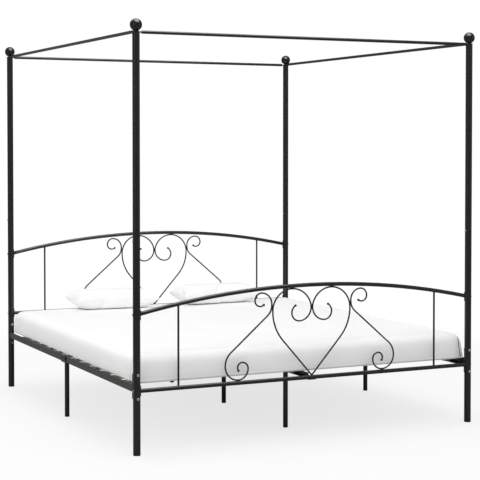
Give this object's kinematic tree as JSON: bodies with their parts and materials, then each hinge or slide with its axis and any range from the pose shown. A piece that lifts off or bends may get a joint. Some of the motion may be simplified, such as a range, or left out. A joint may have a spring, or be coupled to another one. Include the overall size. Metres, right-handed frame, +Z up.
{
  "type": "four poster canopy bed",
  "caption": "Black steel four poster bed with ball finials, a canopy frame, heart scroll panels, slats, mattress and pillows.",
  "frame": {"origin": "on the ground in the middle of the bed", "axes": "+X to the right seen from the foot end, +Y from the foot end to the head end, +Z up"},
  "size_m": [1.908, 2.128, 2.031],
  "materials": {
    "black_powder_coat": "gloss black powder coat on steel tube",
    "zinc_plate": "bright zinc plate",
    "birch_plywood": "clear-lacquered bent plywood",
    "black_plastic": "moulded, fine matt grain",
    "grey_plastic": "moulded, fine matt grain",
    "mattress_cover": "smooth white knitted cotton",
    "pillow_cotton": "plain white cotton"
  },
  "bodies": {
    "bed_frame": {"arch_bolts": "black_powder_coat", "ball_finial_foot_left": "black_powder_coat", "ball_finial_foot_right": "black_powder_coat", "ball_finial_head_left": "black_powder_coat", "ball_finial_head_right": "black_powder_coat", "beam_hook_foot": "black_powder_coat", "beam_hook_head": "black_powder_coat", "canopy_rail_foot": "black_powder_coat", "canopy_rail_head": "black_powder_coat", "canopy_rail_left": "black_powder_coat", "canopy_rail_right": "black_powder_coat", "centre_beam": "black_powder_coat", "centre_leg_foot": "black_powder_coat", "centre_leg_head": "black_powder_coat", "centre_leg_middle": "black_powder_coat", "footboard_arch": "black_powder_coat", "footboard_end_plates": "black_powder_coat", "footboard_heart_left": "black_powder_coat", "footboard_heart_right": "black_powder_coat", "footboard_lower_tube": "black_powder_coat", "footboard_pickets": "black_powder_coat", "footboard_scroll_left": "black_powder_coat", "footboard_scroll_right": "black_powder_coat", "headboard_arch": "black_powder_coat", "headboard_end_plates": "black_powder_coat", "headboard_heart_left": "black_powder_coat", "headboard_heart_right": "black_powder_coat", "headboard_lower_tube": "black_powder_coat", "headboard_pickets": "black_powder_coat", "headboard_scroll_left": "black_powder_coat", "headboard_scroll_right": "black_powder_coat", "leg_bolts": "black_powder_coat", "leg_foot_caps": "black_plastic", "lower_post_foot_left": "black_powder_coat", "lower_post_foot_right": "black_powder_coat", "lower_post_head_left": "black_powder_coat", "lower_post_head_right": "black_powder_coat", "middle_leg_left": "black_powder_coat", "middle_leg_right": "black_powder_coat", "panel_bolts": "zinc_plate", "post_foot_caps": "black_plastic", "rail_bolts": "zinc_plate", "rail_end_brackets": "black_powder_coat", "rail_nuts": "zinc_plate", "side_rail_left_foot": "black_powder_coat", "side_rail_left_head": "black_powder_coat", "side_rail_right_foot": "black_powder_coat", "side_rail_right_head": "black_powder_coat", "slat_caps_inner": "grey_plastic", "slat_caps_outer": "grey_plastic", "slats_left": "birch_plywood", "slats_right": "birch_plywood", "splice_screws": "zinc_plate", "upper_post_foot_left": "black_powder_coat", "upper_post_foot_right": "black_powder_coat", "upper_post_head_left": "black_powder_coat", "upper_post_head_right": "black_powder_coat"},
    "mattress_body": {"mattress": "mattress_cover"},
    "pillow_left_body": {"pillow_left": "pillow_cotton"},
    "pillow_right_body": {"pillow_right": "pillow_cotton"}
  },
  "joints": [
    {"name": "mattress_lift", "type": "slide", "parent": "bed_frame", "child": "mattress_body", "axis": [0, 0, 1], "range_m": [0, 0.25]},
    {"name": "pillow_left_lift", "type": "slide", "parent": "mattress_body", "child": "pillow_left_body", "axis": [0, 0, 1], "range_m": [0, 0.25]},
    {"name": "pillow_right_lift", "type": "slide", "parent": "mattress_body", "child": "pillow_right_body", "axis": [0, 0, 1], "range_m": [0, 0.25]}
  ]
}
